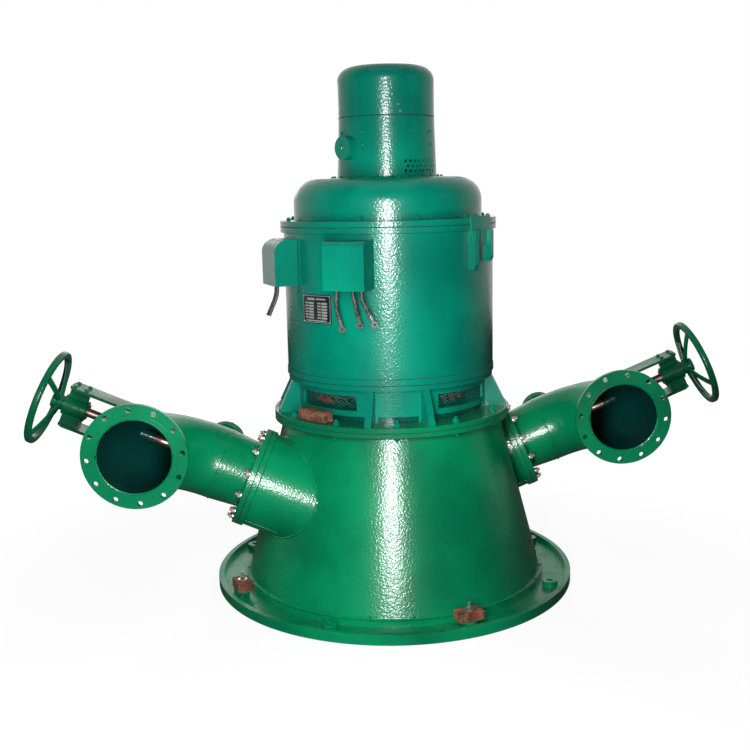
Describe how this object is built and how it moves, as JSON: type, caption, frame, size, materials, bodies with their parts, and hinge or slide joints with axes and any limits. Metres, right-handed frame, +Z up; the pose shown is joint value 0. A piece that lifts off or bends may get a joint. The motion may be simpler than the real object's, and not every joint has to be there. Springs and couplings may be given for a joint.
{
  "type": "hydroelectric generator",
  "caption": "Vertical hydroelectric generating set: bell-shaped turbine casing on a round base, inclined inlet nozzles with handwheels, generator and exciter on top.",
  "frame": {"origin": "centre of the base ring on the floor", "axes": "+Z up along the shaft, +X towards the right-hand nozzle, -Y towards the inlet faces"},
  "size_m": [3.2362, 1.6798, 2.362],
  "materials": {
    "generator_paint": "glossy bluish green enamel, slight orange peel",
    "casing_paint": "glossy green enamel over cast and plate steel",
    "machined_steel": "turned steel with brown rust bloom",
    "mesh_steel": "painted expanded mesh",
    "core_steel": "varnished laminations",
    "winding_varnish": "red insulating varnish",
    "lead_rubber": "dull brown black",
    "tinned_copper": "tinned, dull",
    "plate_black": "black etched sheet with a bare border",
    "packing_timber": "rough, oil-stained"
  },
  "bodies": {
    "machine": {"base_blocks": "packing_timber", "base_ring": "casing_paint", "casing_cone": "casing_paint", "casing_top_flange": "casing_paint", "control_lead": "lead_rubber", "elbow_left": "casing_paint", "elbow_right": "casing_paint", "end_shield": "generator_paint", "exciter_cap": "generator_paint", "exciter_cover": "generator_paint", "foot_flange": "casing_paint", "gland_left": "casing_paint", "gland_right": "casing_paint", "hand_hole_cover_left": "casing_paint", "hand_hole_cover_right": "casing_paint", "hand_hole_left": "casing_paint", "hand_hole_right": "casing_paint", "inlet_flange_left": "casing_paint", "inlet_flange_right": "casing_paint", "lead_left": "lead_rubber", "lead_lug_left": "tinned_copper", "lead_lug_middle": "tinned_copper", "lead_lug_right": "tinned_copper", "lead_middle": "lead_rubber", "lead_right": "lead_rubber", "lifting_lugs": "generator_paint", "lower_bracket": "generator_paint", "nameplate": "plate_black", "nozzle_pipe_left": "casing_paint", "nozzle_pipe_right": "casing_paint", "nozzle_stub_left": "casing_paint", "nozzle_stub_right": "casing_paint", "packing_block": "packing_timber", "stator_core": "core_steel", "stator_frame": "generator_paint", "stator_top_flange": "generator_paint", "terminal_box_main": "generator_paint", "terminal_box_small": "generator_paint", "wheel_bearing_left": "casing_paint", "wheel_bearing_right": "casing_paint", "winding_heads": "winding_varnish", "window_screens": "mesh_steel", "yoke_lower_arm_left": "casing_paint", "yoke_lower_arm_right": "casing_paint", "yoke_upper_arm_left": "casing_paint", "yoke_upper_arm_right": "casing_paint"},
    "handwheel_left": {"handwheel_left": "casing_paint"},
    "handwheel_right": {"handwheel_right": "casing_paint"},
    "spindle_left": {"spindle_left": "machined_steel"},
    "spindle_right": {"spindle_right": "machined_steel"}
  },
  "joints": [
    {"name": "handwheel_turn_left", "type": "hinge", "parent": "machine", "child": "handwheel_left", "pos_m": [-1.47594, -0.262, 0.92364], "axis": [-0.9184, 0, 0.3955], "range_deg": [0, 2790]},
    {"name": "spindle_travel_left", "type": "slide", "parent": "machine", "child": "spindle_left", "axis": [-0.9184, 0, 0.3955], "range_m": [0, 0.0465]},
    {"name": "handwheel_turn_right", "type": "hinge", "parent": "machine", "child": "handwheel_right", "pos_m": [1.47594, 0.262, 0.92364], "axis": [0.9184, 0, 0.3955], "range_deg": [0, 2790]},
    {"name": "spindle_travel_right", "type": "slide", "parent": "machine", "child": "spindle_right", "axis": [0.9184, 0, 0.3955], "range_m": [0, 0.0465]}
  ],
  "couplings": [
    {"joint": "spindle_travel_left", "follows": "handwheel_turn_left", "m_per_rad": 0.00095493},
    {"joint": "spindle_travel_right", "follows": "handwheel_turn_right", "m_per_rad": 0.00095493}
  ]
}
